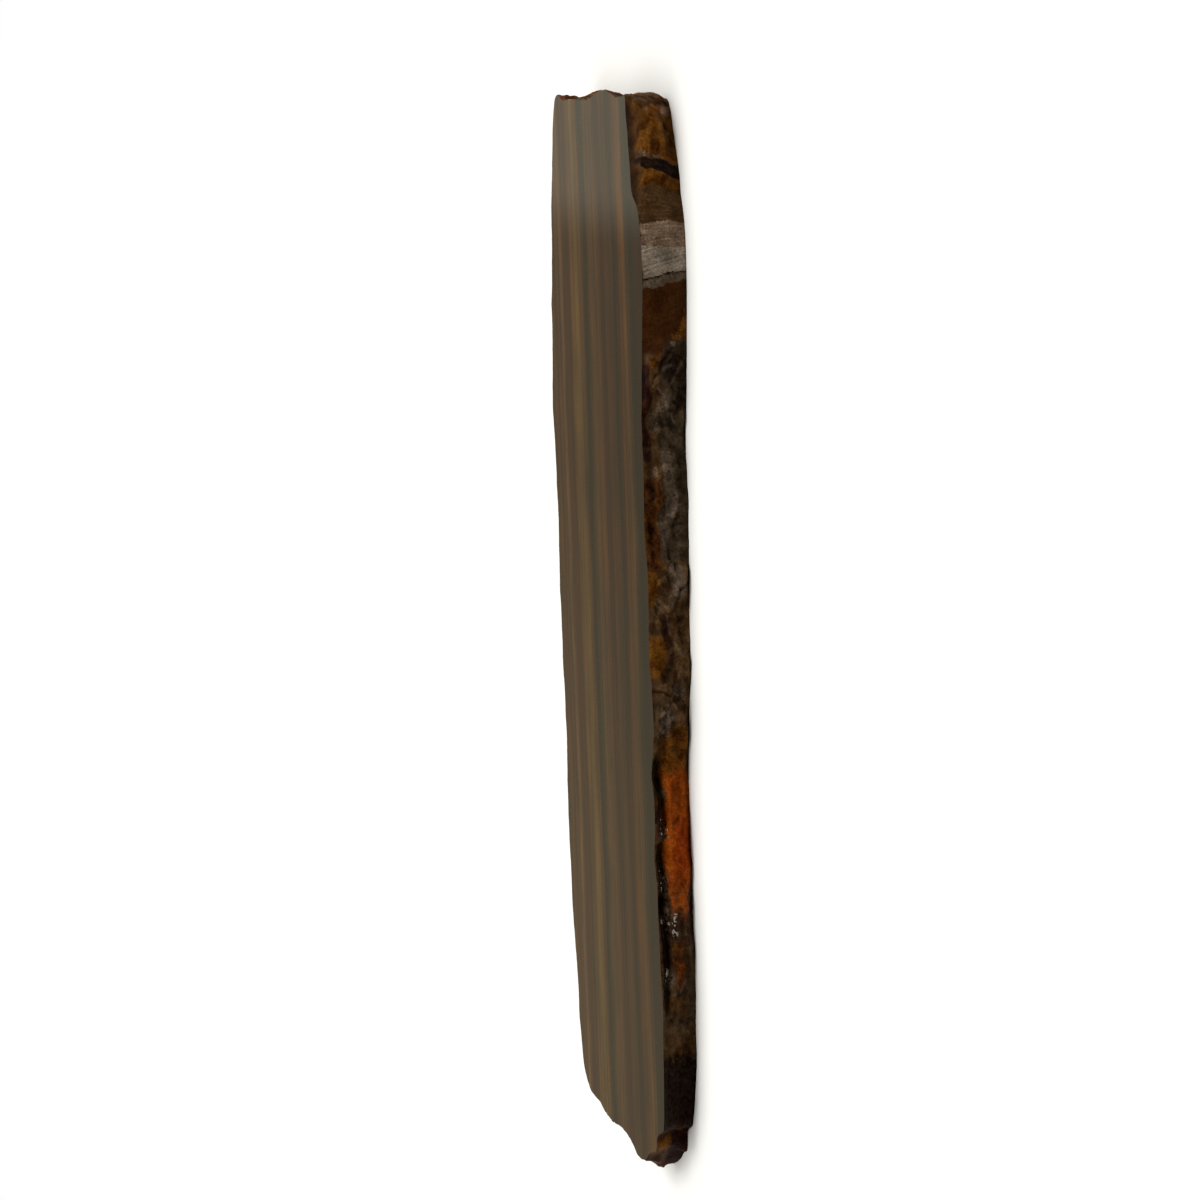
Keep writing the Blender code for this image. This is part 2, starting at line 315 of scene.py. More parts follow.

# %% [markdown]
# ## Which mineral lies where
#
# The broken side is a cut through the rock's layers: golden fibres, a black iron vein, silky grey
# quartz, a rust-red iron crust and a line of small bright crystals. Each is a patch with a rough
# border. The patches are kept as numbers on the vertices (attributes), one layer per mineral, so
# that both the shape and the material can read them: a crust is rust-coloured and also grainy.
#
# Painting a picture would fix the resolution. A rule stays sharp and can be read and changed.

# %% Patches of mineral on the broken side, and a few patches of painted shade
# x from and to in millimetres, then from and to as a share of the thickness (1 is the polished
# edge), how far the patch leans along x from back to face, the softness of its ends, its strength.
PATCHES = {
    "umber": ((-90.0, 97.0, -0.2, 1.2, 0.0, 6.0, 1.0),),
    "smooth": (
        (50.0, 57.4, -0.2, 1.2, -1.2, 1.4, 1.0),
        (45.2, 53.0, -0.2, 1.2, 0.0, 4.0, 1.0),
        (-101.0, -88.0, -0.2, 1.2, 0.0, 3.0, 0.8),
        (-112.0, -100.0, -0.2, 1.2, 0.0, 1.0, 0.9),
    ),
    "golden": (
        (83.0, 112.0, -0.2, 0.9, 3.0, 1.5, 0.85),
        (74.4, 80.5, -0.2, 1.2, 0.6, 1.2, 0.95),
        (47.6, 53.0, -0.2, 0.14, 0.0, 3.0, 0.9),
        (45.5, 49.0, 0.0, 0.34, 0.0, 2.0, 0.5),
        (42.4, 45.6, 0.64, 0.9, 0.0, 1.4, 0.6),
        (-2.6, 6.0, 0.8, 1.2, 0.0, 4.0, 0.75),
        (-15.0, -6.5, 0.64, 1.2, 0.0, 4.5, 0.8),
        (-35.0, -24.0, 0.1, 0.75, 0.0, 4.0, 0.75),
        (-38.0, -35.4, 0.84, 1.2, 0.0, 0.8, 0.8),
        (-48.5, -43.5, 0.55, 0.74, 0.0, 2.0, 0.8),
        (-78.5, -73.5, 0.25, 0.75, 0.0, 2.0, 0.9),
        (-60.0, -57.0, 0.12, 0.75, 0.0, 2.0, 0.7),
        (-106.0, -102.5, 0.4, 1.2, 0.0, 2.0, 0.8),
    ),
    "layers": ((68.0, 75.2, -0.2, 1.2, 0.4, 2.0, 1.0),),
    "smoky": (
        (32.0, 46.0, -0.2, 0.62, -2.0, 3.0, 0.9),
        (6.0, 34.0, -0.2, 0.62, 0.0, 5.0, 0.9),
        (-24.5, -19.0, 0.5, 1.2, 0.0, 2.5, 0.5),
        (-82.0, -57.0, 0.0, 1.2, 0.0, 4.0, 0.5),
        (-37.0, -29.0, 0.82, 1.2, 0.0, 2.0, 0.9),
    ),
    "ash": (
        (9.0, 29.0, 0.36, 0.6, 0.0, 5.0, 0.85),
        (30.0, 37.5, 0.5, 0.76, 0.0, 2.5, 0.5),
        (1.2, 6.6, 0.12, 0.46, 1.0, 1.0, 0.9),
        (-2.6, 1.4, 0.28, 0.62, 0.0, 1.5, 0.45),
        (-19.2, -15.8, 0.08, 0.42, 0.0, 1.5, 0.6),
        (-26.0, -20.5, 0.5, 0.92, 0.0, 2.0, 0.65),
        (-60.0, -51.0, 0.1, 0.7, 0.0, 4.0, 0.65),
        (56.9, 58.9, -0.2, 1.2, -1.3, 0.8, 0.95),
        (-45.0, -40.5, 0.62, 0.95, 0.0, 2.0, 0.7),
        (-55.0, -49.5, 0.66, 0.95, 0.0, 2.0, 0.7),
        (-64.0, -57.5, 0.4, 0.97, 0.0, 2.0, 0.6),
        (-73.0, -68.0, 0.7, 0.96, 0.0, 2.0, 0.6),
    ),
    "grey": (
        (64.2, 68.9, -0.2, 1.2, 0.0, 1.8, 1.0),
        (-63.4, -57.2, 0.78, 0.94, 0.0, 1.5, 0.7),
        (90.4, 92.2, 0.03, 0.24, 1.0, 1.0, 0.6),
        (78.6, 83.0, 0.3, 0.88, 1.8, 0.8, 0.42),
        (46.2, 47.4, 0.24, 0.37, 0.0, 0.6, 0.9),
        (22.2, 24.6, 0.66, 0.82, 0.0, 1.4, 0.55),
    ),
    "silver": ((60.2, 64.5, -0.2, 1.2, 0.0, 0.7, 1.0), (58.7, 62.0, -0.2, 1.2, -1.7, 0.7, 1.0)),
    "bruised": (
        (72.5, 97.0, 0.85, 1.2, 0.0, 2.0, 0.9),
        (84.0, 97.0, 0.66, 1.2, 0.0, 6.0, 0.55),
        (90.4, 97.0, 0.5, 1.2, 0.0, 2.5, 0.8),
        (91.0, 92.6, -0.2, 0.6, 0.0, 1.0, 0.8),
    ),
    "maroon": (
        (27.0, 43.0, 0.85, 1.2, 0.0, 3.0, 0.95),
        (24.5, 32.0, 0.8, 1.2, 0.0, 3.0, 0.7),
        (57.0, 72.0, 0.975, 1.2, 0.0, 3.0, 0.7),
        (36.5, 45.5, 0.38, 0.6, -6.0, 3.0, 0.45),
        (-17.0, -14.0, 0.4, 1.2, -2.0, 2.5, 0.45),
        (-10.5, -3.5, 0.5, 0.74, 0.0, 3.0, 0.6),
        (-16.0, -7.0, 0.42, 0.6, 0.0, 4.0, 0.5),
        (83.5, 89.0, 0.0, 0.22, 4.0, 3.0, 0.4),
        # partly painted shade: dark stone deepened where the crevice along the polished edge lies
        (-72.0, -36.0, 0.84, 1.2, 0.0, 3.0, 0.45),
        (-71.0, -57.0, 0.1, 0.9, 0.0, 5.0, 0.5),
        (-112.0, -100.0, -0.2, 0.45, 0.0, 1.0, 0.8),
    ),
    "ochre": ((5.0, 21.6, 0.66, 1.2, 0.0, 2.0, 1.0), (-70.0, -64.0, 0.3, 0.7, 0.0, 3.0, 0.7)),
    "iron": (
        (-52.0, -32.5, -0.2, 0.74, 0.0, 6.0, 1.0),
        (-59.5, -49.0, 0.12, 0.72, 0.0, 6.0, 0.67),
        (-35.0, -30.0, 0.3, 0.7, 0.0, 4.0, 0.35),
        (-72.5, -67.0, 0.32, 0.66, 0.0, 4.0, 0.42),
    ),
    "rust": ((-52.5, -41.5, -0.2, 0.5, 0.0, 8.0, 0.8),),
    "black": (
        (79.2, 82.1, -0.2, 0.86, 1.6, 0.9, 1.0),
        (78.8, 82.8, 0.78, 0.84, 1.6, 0.8, 0.7),
        (58.8, 59.1, -0.2, 1.2, -1.7, 0.3, 0.8),
        (33.0, 45.0, -0.2, 0.5, -2.0, 4.0, 0.5),
        # black in the crevice along the polished edge: dark stone with painted shade of the crevice
        # on top
        (-41.8, -38.4, 0.74, 1.1, 0.0, 1.0, 0.7),
        (-74.0, -50.0, 0.88, 1.1, 0.0, 3.0, 0.35),
        (-64.0, -58.0, 0.3, 0.9, 0.0, 2.5, 0.42),
        # painted shadow: this black stands for shade over the stretch next to the tip, not darker
        # stone
        (-100.0, -86.0, -0.2, 1.2, 0.0, 5.0, 1.0),
    ),
    "crystal": (
        (-44.5, -41.0, 0.62, 0.94, 0.0, 1.5, 1.0),
        (-54.6, -50.0, 0.68, 0.95, 0.0, 2.0, 1.0),
        (-63.5, -58.6, 0.46, 0.97, 0.0, 2.0, 0.9),
        (-72.0, -68.5, 0.72, 0.96, 0.0, 2.0, 1.0),
        (-30.0, -26.5, 0.6, 0.9, 0.0, 2.0, 0.4),
        (12.0, 24.0, 0.7, 0.96, 0.0, 3.0, 0.35),
    ),
}
EDGE_WANDER, WANDER_SIZE = 1.3, 4.5  # how far the patches' borders wander, and over what length
EDGE_TEETH, TEETH_SIZE = 0.5, 1.3  # the same for the small teeth along them
STRAIGHT = {"silver": 0.2, "layers": 0.25, "smooth": 0.3, "grey": 0.3}  # share of that wander
LEVEL_DRIFT, DRIFT_SIZE = 0.16, 5.0  # the same up and down, as a share of the thickness
DRIFT_START = Vector((9.0, 0.0, 0.0))
SHARE_SOFTNESS = 0.12
LAYER_LEAN = -3.2  # mm in x from a layer's place at the back to its place at the face
LEAN_GROWTH = ((5.4, 58.0, 80.0), (7.0, 82.0, 90.0))  # what is added to it, and over which x
NEAR_SIDE = (15.0, 23.0)  # -y where the named patches take over from the streaks
GOLDEN_FIBRES, SMOOTH_FIBRES = 0.5, 0.3  # how fibrous these are next to silver
CLOUD_SIZE = (30.0, 9.0, 3.5)  # streaks of mineral where the rim has no named patches, in mm
CLOUD_SOFTNESS, CLOUD_STRENGTH = 0.26, 0.85
CLOUD_TEETH, CLOUD_TEETH_SIZE = 0.14, 2.5
CLOUD_SEED = 17.0  # sets the streaks of one mineral apart from the next one's
END_CLEAR = 0.35  # share of the streaks that is missing on the two ends, where bands show
END_START = (90.0, 98.0)  # how far from the middle the ends begin
CLOUD_COVER = {  # how much of the noise each mineral leaves bare, from -0.5 to 0.5
    "umber": -0.1,
    "golden": 0.12,
    "layers": 0.16,
    "smoky": 0.08,
    "ochre": 0.2,
    "iron": 0.32,
    "black": 0.34,
}


def along_layers(point, share):
    """x at the polished edge of the layer that passes through a point. The layers fan out."""
    lean = LAYER_LEAN
    for growth, start, end in LEAN_GROWTH:
        lean += growth * ramp(point.x, start, end)
    return point.x + lean * (1 - share)


def broken_side_mineral(name, point, share):
    """How much of one mineral there is at a point of the broken side, from 0 to 1."""
    strayed = EDGE_WANDER * noise.noise(point / WANDER_SIZE)
    strayed += EDGE_TEETH * noise.noise(point / TEETH_SIZE)
    strayed *= STRAIGHT.get(name, 1.0)
    drift = LEVEL_DRIFT * noise.noise(point / DRIFT_SIZE + DRIFT_START)
    amount = 0.0
    for start, end, low, high, lean, soft, strength in PATCHES[name]:
        along = stretch(point.x + lean * (1 - share) + strayed, start, end, soft)
        if along > 0:
            height = stretch(share + drift, low, high, SHARE_SOFTNESS)
            amount = max(amount, strength * along * height)
    return amount


def clouded_mineral(name, point):
    """How much of one mineral there is on the far side and the ends, from 0 to 1."""
    if name not in CLOUD_COVER:
        return 0.0
    seed = CLOUD_SEED * list(PATCHES).index(name)
    size_x, size_y, size_z = CLOUD_SIZE
    cloud = noise.noise(Vector((point.x / size_x + seed, point.y / size_y, point.z / size_z)))
    cloud += CLOUD_TEETH * noise.noise(point / CLOUD_TEETH_SIZE)
    amount = ramp(cloud, CLOUD_COVER[name] - CLOUD_SOFTNESS, CLOUD_COVER[name] + CLOUD_SOFTNESS)
    return CLOUD_STRENGTH * amount * (1 - END_CLEAR * ramp(abs(point.x), *END_START))


def minerals_at(point, share):
    """The amount of each mineral at a point of the rim."""
    near = ramp(-point.y, *NEAR_SIDE)
    amounts = {}
    for name in PATCHES:
        amounts[name] = near * broken_side_mineral(name, point, share) if near > 0 else 0.0
        if near < 1:
            amounts[name] += (1 - near) * clouded_mineral(name, point)
    fibrous = max(amounts["silver"], amounts["layers"], amounts["grey"])
    golden, smooth = GOLDEN_FIBRES * amounts["golden"], SMOOTH_FIBRES * amounts["smooth"]
    amounts["fibrous"] = max(fibrous, golden, smooth)
    return amounts


print({name: len(patches) for name, patches in PATCHES.items()})

# %% [markdown]
# ## Fine relief
#
# Close up, the break has bites, flat shards that lie at odd angles, ribs where fibres were torn
# across, and grains of crust. A shard is a Voronoi cell with its own random tilt, so that it ends
# in a small step against its neighbours.

# %% Fine relief that follows the minerals, in millimetres
BITES = (2.7, 1.9, 0.26)  # size along the rim, size in height, depth
SHARDS = ((3.1, 2.2, 0.42), (1.3, 1.0, 0.2))
TILT_SEED = 37.0
RIB_RISE, RIB_WIDTH, RIB_LENGTH = 0.13, 0.6, 12
GRAIN_RISE, GRAIN_SIZE, GRAIN_LEVEL = 0.32, 0.95, 0.45
DUST_RISE, DUST_SIZE = 0.1, 0.5
EDGE_RELIEF, EDGE_GROWTH = 0.35, 5  # the share left at the two edges, and how fast it grows there
FIBRE_CALM, CRUST_CALM = 0.85, 0.5  # how far fibres and crust even out what is under them
BARE_GRAIN, CRYSTAL_GRAIN = 0.18, 0.8  # how grainy bare rock and crystals are next to crust


def shards(point, size, height, depth):
    """Flat splinters at odd angles, with small steps between them."""
    place = Vector((point.x / size, point.y / size, point.z / height))
    nearest = noise.voronoi(place)[1][0]
    tilt = noise.cell_vector(nearest * TILT_SEED) - Vector((0.5, 0.5, 0.5))
    return 2 * depth * tilt.dot(place - nearest)


def fine_relief(point, share, amounts):
    """Small bites, shards, fibre ribs and crust grains."""
    edge = min(1.0, EDGE_GROWTH * share, EDGE_GROWTH * (1 - share))
    edge = EDGE_RELIEF + (1 - EDGE_RELIEF) * edge
    fibrous = amounts["fibrous"]
    calm = 1 - FIBRE_CALM * max(fibrous, amounts["smooth"])
    crust = max(amounts["iron"], amounts["ochre"], CRYSTAL_GRAIN * amounts["crystal"])
    broken = scoops(point, *BITES)
    for shard in SHARDS:
        broken += shards(point, *shard)
    across = along_layers(point, share) / RIB_WIDTH
    ribs = RIB_RISE * noise.noise(Vector((across, 0.0, point.z / RIB_LENGTH)))
    grain = GRAIN_RISE * (GRAIN_LEVEL - noise.voronoi(point / GRAIN_SIZE)[0][0])
    grain += DUST_RISE * noise.noise(point / DUST_SIZE)
    relief = broken * calm * (1 - CRUST_CALM * crust) + ribs * fibrous
    relief += grain * (BARE_GRAIN + (1 - BARE_GRAIN) * crust) * calm
    return edge * relief


sample = Vector((-45, -37, 4))
print("fine relief in the crust:", round(fine_relief(sample, 0.5, minerals_at(sample, 0.5)), 2))

# %% [markdown]
# ## Hair-fine ridges and cracks
#
# In a few places two breaks met at a sharp angle and left thin crossing ridges, like the ribs of a
# leaf, and in others a crack runs through the rock. Both are raised or sunk along short straight
# lines, and the material paints a highlight along the crests and shade into the cracks.

# %% Fine lines
# x and share of the thickness at each end, then the strength: above 0 a ridge, below 0 a crack.
FINE_LINES = (
    (43.0, 0.38, 42.4, 0.56, 0.8),
    (42.4, 0.56, 38.8, 0.87, 1.0),
    (43.4, 0.1, 36.6, 0.58, 0.6),
    (38.6, 0.64, 36.4, 0.51, 0.8),
    (36.4, 0.51, 33.2, 0.45, 0.6),
    (35.8, 0.5, 31.0, 0.16, 0.8),
    (46.6, 0.36, 42.6, 0.64, -1.0),
    (42.6, 0.64, 38.6, 0.9, -1.0),
    (13.8, 0.12, 13.4, 0.38, -0.8),
    (18.4, 0.56, 16.0, 0.54, -0.8),
    (2.8, 0.04, 0.8, 0.28, -1.0),
    (-0.8, 0.9, -3.1, 0.58, 0.6),
    (-3.1, 0.58, -6.8, 0.45, 0.8),
    (-6.8, 0.45, -10.8, 0.26, 0.8),
    (-0.4, 0.76, -2.8, 0.5, 0.7),
    (-16.2, 0.06, -18.4, 0.2, 0.8),
    (-18.4, 0.2, -17.6, 0.4, 0.8),
    (-16.9, 0.12, -18.6, 0.3, 0.5),
    (-18.7, 0.55, -22.2, 0.18, 1.4),
    (-13.6, 0.38, -18.2, 0.52, -0.9),
    (-18.2, 0.52, -17.0, 1.0, -1.0),
    (-21.6, 0.5, -23.2, 0.66, 1.0),
    (-24.0, 0.62, -25.6, 0.78, 1.2),
    (-19.6, 0.66, -21.4, 0.78, 0.8),
    (-24.2, 0.8, -25.4, 0.92, 1.0),
    (-71.0, 0.3, -74.5, 0.44, 0.7),
    (-72.0, 0.5, -74.8, 0.6, 0.6),
    (92.4, 0.02, 91.6, 0.5, -0.8),
    (83.8, 0.02, 89.6, 0.36, -0.6),
    (86.5, 0.14, 85.6, 0.3, 0.7),
    (93.2, 0.78, 91.4, 0.52, 0.8),
    (91.4, 0.52, 90.0, 0.7, 0.6),
)
LINE_WIDTH, LINE_RISE = 0.22, 0.22
LINE_BEND, BEND_SIZE = 0.5, 2.2
GAP_SIZE, GAP_RANGE = 1.2, (-0.3, 0.25)


def fine_line(point, share):
    """Above 0 on a thin ridge, below 0 in a thin crack, and 0 away from them."""
    ridge = crack = 0.0
    if point.y < -SIDE:
        bend = LINE_BEND * noise.noise(point / BEND_SIZE)
        for from_x, from_share, to_x, to_share, strength in FINE_LINES:
            ends = (from_x, from_share * THICKNESS, to_x, to_share * THICKNESS)
            apart = distance_to_segment(point.x + bend, share * THICKNESS + bend, *ends)
            crest = strength * hump(apart, 0.0, LINE_WIDTH)
            ridge, crack = max(ridge, crest), min(crack, crest)
        ridge *= ramp(noise.noise(point / GAP_SIZE), *GAP_RANGE)  # broken off here and there
    return ridge + crack


print(len(FINE_LINES), "fine lines,", LINE_WIDTH, "mm to each side")

# %% [markdown]
# ## Raising the stone
#
# The mesh starts as one flat many-sided face, the sawn back. That face is extruded ring by ring
# up to the polished face, and each new ring of vertices is moved to its place on the rim. Extruding
# keeps every ring joined to the last, so the stone is closed by construction.

# %% Where each vertex of the rim goes
RINGS = 34
RING_WAVER, WAVER_LENGTH, RING_STAGGER = 0.035, 5.0, 8.0  # as in the solid
POLISHED_EDGE = 0.12  # the polisher takes this much off the sharp edge of the face


def rim_point(i, ring_share):
    """The place of column i on one ring, how far it stands out, and what lies there."""
    corner = outline[i]
    swing = Vector((*corner.xy / WAVER_LENGTH, RING_STAGGER * ring_share))
    waver = RING_WAVER * noise.noise(swing)
    share = ring_share + waver * math.sin(math.pi * ring_share)
    on_loft = corner.xy + corner.zw * (1 - share)
    point = Vector((*on_loft, share * face_height(on_loft.x)))
    traits = minerals_at(point, share)
    traits["line"] = fine_line(point, share)
    traits["layer_place"] = along_layers(point, share)
    out = rim_relief(point, share) + fine_relief(point, share, traits)
    out += LINE_RISE * traits["line"]
    if ring_share == 1:
        out -= POLISHED_EDGE
    place = on_loft + outward[i] * out
    return Vector((*place, share * face_height(place.x))), out, traits


rings = [[rim_point(i, ring / RINGS) for i in range(len(outline))] for ring in range(RINGS + 1)]
TRAITS = (*rings[0][0][2], "crest")
print(len(rings), "rings of", len(rings[0]), "vertices, with", ", ".join(TRAITS))

# %% [markdown]
# ## Crests and hollows
#
# The material paints shade into hollows and a highlight onto crests. To know which is which, each
# vertex's height is set against the average height round it: above it is a crest, below a hollow.

# %% How far each vertex stands above its surroundings
REACH = 4  # vertices to each side


def crest_heights(rings):
    """Height above the average of the surroundings, in millimetres, for every vertex."""
    heights = numpy.array([[out for place, out, traits in ring] for ring in rings])
    padded = numpy.pad(heights, ((REACH, REACH), (0, 0)), mode="edge")
    count = len(rings)
    level = sum(padded[REACH + k : REACH + k + count] for k in range(-REACH, REACH + 1))
    level = sum(numpy.roll(level, k, axis=1) for k in range(-REACH, REACH + 1))
    return heights - level / (2 * REACH + 1) ** 2


crests = crest_heights(rings)
crest, hollow = round(float(crests.max()), 2), round(float(crests.min()), 2)
print("crests up to", crest, "mm, hollows", hollow, "mm")

# %% Build the stone's mesh


def stone_mesh():
    """The stone as a bmesh in millimetres, with one float layer for each trait."""
    mesh = bmesh.new()
    column = mesh.verts.layers.int.new("column")
    layers = {name: mesh.verts.layers.float.new(name) for name in TRAITS}
    bmesh.ops.create_circle(mesh, cap_ends=True, segments=len(outline), radius=1.0)
    for i, corner in enumerate(mesh.verts):
        corner[column] = i
    cap = mesh.faces[:]
    for ring, points in enumerate(rings):
        if ring > 0:
            cap = bmesh.ops.extrude_discrete_faces(mesh, faces=cap)["faces"]
        for corner in cap[0].verts:
            corner.co, out, traits = points[corner[column]]
            traits["crest"] = crests[ring, corner[column]]
            for name, layer in layers.items():
                corner[layer] = traits[name]
    bmesh.ops.holes_fill(mesh, edges=[edge for edge in mesh.edges if edge.is_boundary])
    bmesh.ops.recalc_face_normals(mesh, faces=mesh.faces)
    return mesh


raw = stone_mesh()
print(len(raw.verts), "vertices,", len(raw.faces), "faces")

# %% [markdown]
# ## Putting the stone where the solid is
#
# The corners were written in the outline's own frame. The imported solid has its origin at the
# bottom centre of its box, so the stone is slid until its box and the solid's share a middle.

# %% Slide it into place and make the object
lowest = Vector(min(corner.co[axis] for corner in raw.verts) for axis in range(3))
highest = Vector(max(corner.co[axis] for corner in raw.verts) for axis in range(3))
slide = (cad_low + cad_high) / 2 / MM - (lowest + highest) / 2
slide.z = 0.0
bmesh.ops.translate(raw, verts=raw.verts, vec=slide)
bmesh.ops.scale(raw, verts=raw.verts, vec=Vector((MM, MM, MM)))

RIM, FACE, BACK = 0, 1, 2
UV_SIDE = 0.25  # metres of the slab that the UV square covers
grid = raw.loops.layers.uv.new("along_bands")
for face in raw.faces:
    face.smooth = len(face.verts) == 4
    face.material_index = RIM if face.smooth else (FACE if face.normal.z > 0 else BACK)
    for loop in face.loops:
        loop[grid].uv = loop.vert.co.xy / UV_SIDE

stone = bpy.data.objects.new("tigers_eye_stone", bpy.data.meshes.new("tigers_eye_stone"))
raw.to_mesh(stone.data)
raw.free()
bpy.context.scene.collection.objects.link(stone)
print("slid by", [round(value, 2) for value in slide], "mm")

# %% [markdown]
# ## Helpers for materials
#
# Colours are written the way a painter's chart gives them, as sRGB hex. Blender's shaders work in
# linear light, so one function turns the one into the other. A second small function adds a node,
# wires it up and gives back one output, so a material reads from top to bottom as a recipe.
#
# Many steps turn one range of numbers into another with a Map Range node. Such a range is written
# as (from, to), or as (from, to, result at from, result at to), and zipped with the sockets' names.
# A range of two numbers gives results from 0 to 1.

# %% Colour and node helpers
LIMITS = ("From Min", "From Max", "To Min", "To Max")
NOISE_REACH = (0.3, 0.7)  # nearly all of a noise texture's values lie between these
QUARTZ_IOR = 1.54


def linear(code):
    """An sRGB hex colour as linear red, green, blue and alpha."""
    shares = [int(code[i : i + 2], 16) / 255 for i in (1, 3, 5)]
    return (*[s / 12.92 if s <= 0.04045 else ((s + 0.055) / 1.055) ** 2.4 for s in shares], 1.0)


def add_node(tree, kind, inputs=None, output=0, **settings):
    """Adds a node with its settings, feeds its inputs values or sockets, and returns an output."""
    node = tree.nodes.new(kind)
    for name, value in settings.items():
        setattr(node, name, value)
    for name, value in (inputs or {}).items():
        if isinstance(value, bpy.types.NodeSocket):
            tree.links.new(value, node.inputs[name])
        else:
            node.inputs[name].default_value = value
    return node.outputs[output] if node.outputs else node


def fill_ramp(elements, stops):
    """Puts (position, hex colour) stops on a colour ramp."""
    while len(elements) < len(stops):
        elements.new(0.5)
    for element, (position, code) in zip(elements, stops):
        element.position = position
        element.color = linear(code)


def new_material(name):
    """A material with nothing in it but a Principled shader and its output."""
    material = bpy.data.materials.new(name)
    material.use_nodes = True
    tree = material.node_tree
    return material, tree, tree.nodes["Principled BSDF"]


print("mid grey #808080 is", round(linear("#808080")[0], 3), "in linear light")

# %% [markdown]
# ## The bands of the stone
#
# The bands are the stone's inside, so all three finishes cut through the same bands. They live in
# one node group that each material uses. The group reads Object coordinates, turned into
# millimetres of the outline's frame, so a band on the face carries on down the broken ends.
#
# A band runs along X. Its colour comes from y, shifted by slow noise so that it wanders a
# millimetre or two, looked up on a colour ramp with the bands in the order they lie in. Iron makes
# the colours: little of it gives gold, more gives brown, and the darkest bands are red-brown.

# %% The bands in order, from the broken side to the far side
FIRST_BAND, BAND_SPAN = -38.5, 76.0  # y of the first band, and the width all the bands cover, in mm
BAND_STOPS = (  # mm from the first band, colour of the silk there
    (0.0, "#511f0d"),
    (5.0, "#35180c"),
    (7.2, "#583516"),
    (10.5, "#986b35"),
    (15.0, "#7c4917"),
    (17.4, "#551f05"),
    (19.2, "#4b1b05"),
    (21.4, "#6f4524"),
    (25.6, "#70401e"),
    (27.0, "#551809"),
    (28.0, "#692c0e"),
    (29.2, "#541a09"),
    (30.6, "#7c4a22"),
    (36.6, "#8e6636"),
    (39.2, "#6f4722"),
    (40.8, "#401d0c"),
    (43.2, "#401303"),
    (45.0, "#85521b"),
    (49.8, "#a48344"),
    (53.6, "#966735"),
    (56.0, "#6c3818"),
    (61.2, "#6a3014"),
    (62.8, "#905e2e"),
    (63.9, "#ac8654"),
    (65.2, "#895b35"),
    (69.2, "#773f19"),
    (71.0, "#865428"),
    (76.0, "#714221"),
)
SLOW_WAVE, QUICK_WAVE = 6.0, 2.4  # mm that a band wanders over a long and over a short stretch
DIP = 0.35  # how far the bands lean back with depth
BAND_PATTERNS = {  # size of the clumps in mm, detail
    "slow": ((46, 60, 60), 1.0),
    "quick": ((15, 11, 12), 2.0),
    "streaks": ((90, 1.5, 1.5), 3.0),
    "threads": ((40, 0.6, 0.6), 3.0),
    "tints": ((60, 2.6, 2.6), 2.0),
}
BAND_CONTRAST = {"streaks": 0.42, "threads": 0.26}
TINTS = (0.95, 1.02, 1.08), (1.04, 0.98, 0.97)  # fibres vary between a bluish and a rosy tint
TINT_REACH = (0.35, 0.65)
print(len(BAND_STOPS), "bands across", BAND_SPAN, "mm")

# %% Node group: bands of tiger's eye
bands = bpy.data.node_groups.new("tigers_eye_bands", "ShaderNodeTree")
bands.interface.new_socket("Colour", in_out="OUTPUT", socket_type="NodeSocketColor")
bands.interface.new_socket("Place", in_out="OUTPUT", socket_type="NodeSocketVector")
where = add_node(bands, "ShaderNodeTexCoord", output="Object")
scaling = {"Vector": where, "Location": -slide, "Scale": (1 / MM, 1 / MM, 1 / MM)}
place = add_node(bands, "ShaderNodeMapping", scaling)
y = add_node(bands, "ShaderNodeSeparateXYZ", {0: place}, output="Y")
depth = add_node(bands, "ShaderNodeSeparateXYZ", {0: place}, output="Z")
noises = {}
for name, (size, detail) in BAND_PATTERNS.items():
    sized = add_node(bands, "ShaderNodeVectorMath", {0: place, 1: size}, operation="DIVIDE")
    inputs = {"Vector": sized, "Scale": 1, "Detail": detail}
    noises[name] = add_node(bands, "ShaderNodeTexNoise", inputs)
across = y
for shift, amount in ((noises["slow"], SLOW_WAVE), (noises["quick"], QUICK_WAVE), (depth, DIP)):
    across = {0: shift, 1: amount, 2: across}
    across = add_node(bands, "ShaderNodeMath", across, operation="MULTIPLY_ADD")
first = FIRST_BAND + 0.5 * (SLOW_WAVE + QUICK_WAVE) + DIP * THICKNESS
limits = {"Value": across, "From Min": first, "From Max": first + BAND_SPAN}
share = add_node(bands, "ShaderNodeMapRange", limits)
colour = add_node(bands, "ShaderNodeValToRGB", {"Fac": share})
fill_ramp(colour.node.color_ramp.elements, [(mm / BAND_SPAN, code) for mm, code in BAND_STOPS])
for name, contrast in BAND_CONTRAST.items():
    limits = dict(zip(LIMITS, (*NOISE_REACH, 1 - contrast, 1 + contrast)))
    shade = add_node(bands, "ShaderNodeMapRange", {"Value": noises[name], **limits})
    colour = add_node(bands, "ShaderNodeVectorMath", {0: colour, "Scale": shade}, operation="SCALE")
limits = dict(zip(LIMITS, TINT_REACH))
tint = add_node(bands, "ShaderNodeMapRange", {"Value": noises["tints"], **limits})
tint = {0: tint, 4: TINTS[0], 5: TINTS[1]}
tint = add_node(bands, "ShaderNodeMix", tint, output=1, data_type="VECTOR")
colour = add_node(bands, "ShaderNodeVectorMath", {0: colour, 1: tint}, operation="MULTIPLY")
add_node(bands, "NodeGroupOutput", {"Colour": colour, "Place": place})
print("band group has", len(bands.nodes), "nodes")

